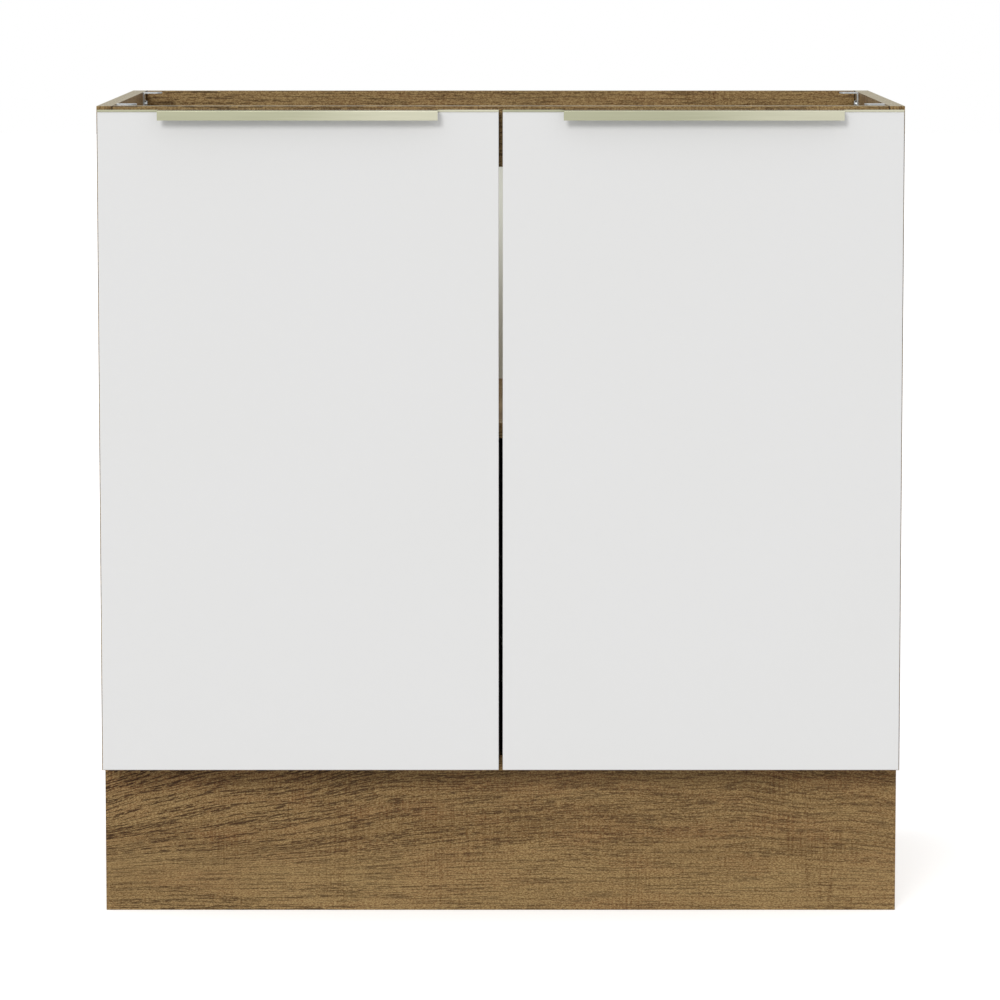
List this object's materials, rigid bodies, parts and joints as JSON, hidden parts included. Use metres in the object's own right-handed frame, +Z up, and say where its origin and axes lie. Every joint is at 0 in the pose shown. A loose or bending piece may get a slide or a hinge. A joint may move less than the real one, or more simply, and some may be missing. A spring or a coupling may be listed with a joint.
{
  "type": "kitchen base cabinet",
  "caption": "Kitchen base cabinet: oak-look carcass with a fixed shelf and recessed plinth, white overlay doors on concealed hinges, and notched metal edge pulls along the door tops.",
  "frame": {"origin": "middle of the footprint at floor level", "axes": "+Z up, +X right and +Y to the rear as seen from the front, so the doors face -Y"},
  "size_m": [0.8, 0.548, 0.815],
  "materials": {
    "carcass_board": "satin oak-look laminate on particle board",
    "plinth_board": "satin oak-look laminate on particle board",
    "door_board": "satin white laminate on fibre board",
    "back_sheet": "thin hardboard with a white inner face",
    "pull_metal": "satin champagne anodised",
    "hinge_steel": "nickel plated",
    "bracket_steel": "zinc plated",
    "solid_wood": "bare beech",
    "bumper": "clear soft"
  },
  "bodies": {
    "carcass": {"back_panel": "back_sheet", "bottom_panel": "carcass_board", "carcass_dowels": "solid_wood", "front_rail": "carcass_board", "hinge_arm_pins": "hinge_steel", "left_front_bracket": "bracket_steel", "left_lower_hinge_arm": "hinge_steel", "left_lower_hinge_plate": "hinge_steel", "left_rear_bracket": "bracket_steel", "left_side_panel": "carcass_board", "left_upper_hinge_arm": "hinge_steel", "left_upper_hinge_plate": "hinge_steel", "plinth_blocks": "solid_wood", "plinth_dowels": "solid_wood", "plinth_front": "plinth_board", "plinth_left": "plinth_board", "plinth_rear": "plinth_board", "plinth_right": "plinth_board", "plinth_stretcher": "plinth_board", "rear_rail": "carcass_board", "right_front_bracket": "bracket_steel", "right_lower_hinge_arm": "hinge_steel", "right_lower_hinge_plate": "hinge_steel", "right_rear_bracket": "bracket_steel", "right_side_panel": "carcass_board", "right_upper_hinge_arm": "hinge_steel", "right_upper_hinge_plate": "hinge_steel", "shelf": "carcass_board"},
    "left_outer_links": {"left_lower_outer_link": "hinge_steel", "left_upper_outer_link": "hinge_steel"},
    "left_inner_links": {"left_lower_inner_link": "hinge_steel", "left_upper_inner_link": "hinge_steel"},
    "left_door": {"left_bumpers": "bumper", "left_cup_pins": "hinge_steel", "left_door": "door_board", "left_lower_hinge_cup": "hinge_steel", "left_pull": "pull_metal", "left_upper_hinge_cup": "hinge_steel"},
    "right_outer_links": {"right_lower_outer_link": "hinge_steel", "right_upper_outer_link": "hinge_steel"},
    "right_inner_links": {"right_lower_inner_link": "hinge_steel", "right_upper_inner_link": "hinge_steel"},
    "right_door": {"right_bumpers": "bumper", "right_cup_pins": "hinge_steel", "right_door": "door_board", "right_lower_hinge_cup": "hinge_steel", "right_pull": "pull_metal", "right_upper_hinge_cup": "hinge_steel"}
  },
  "joints": [
    {"name": "left_outer_link_turn", "type": "hinge", "parent": "carcass", "child": "left_outer_links", "pos_m": [-0.3566, -0.2221, 0.4], "axis": [0, 0, 1], "range_deg": [0, 26.91]},
    {"name": "left_door_swing", "type": "hinge", "parent": "left_outer_links", "child": "left_door", "pos_m": [-0.3867, -0.2426, 0.4], "axis": [0, 0, -1], "range_deg": [0, 121.89]},
    {"name": "left_inner_link_turn", "type": "hinge", "parent": "carcass", "child": "left_inner_links", "pos_m": [-0.353, -0.2372, 0.4], "axis": [0, 0, 1], "range_deg": [0, 32.89]},
    {"name": "right_outer_link_turn", "type": "hinge", "parent": "carcass", "child": "right_outer_links", "pos_m": [0.3566, -0.2221, 0.4], "axis": [0, 0, -1], "range_deg": [0, 26.91]},
    {"name": "right_door_swing", "type": "hinge", "parent": "right_outer_links", "child": "right_door", "pos_m": [0.3867, -0.2426, 0.4], "axis": [0, 0, 1], "range_deg": [0, 121.89]},
    {"name": "right_inner_link_turn", "type": "hinge", "parent": "carcass", "child": "right_inner_links", "pos_m": [0.353, -0.2372, 0.4], "axis": [0, 0, -1], "range_deg": [0, 32.89]}
  ],
  "couplings": [
    {"joint": "left_outer_link_turn", "follows": "left_door_swing", "ratio": 0.22058},
    {"joint": "left_inner_link_turn", "follows": "left_door_swing", "ratio": 0.26968},
    {"joint": "right_outer_link_turn", "follows": "right_door_swing", "ratio": 0.22058},
    {"joint": "right_inner_link_turn", "follows": "right_door_swing", "ratio": 0.26968}
  ]
}
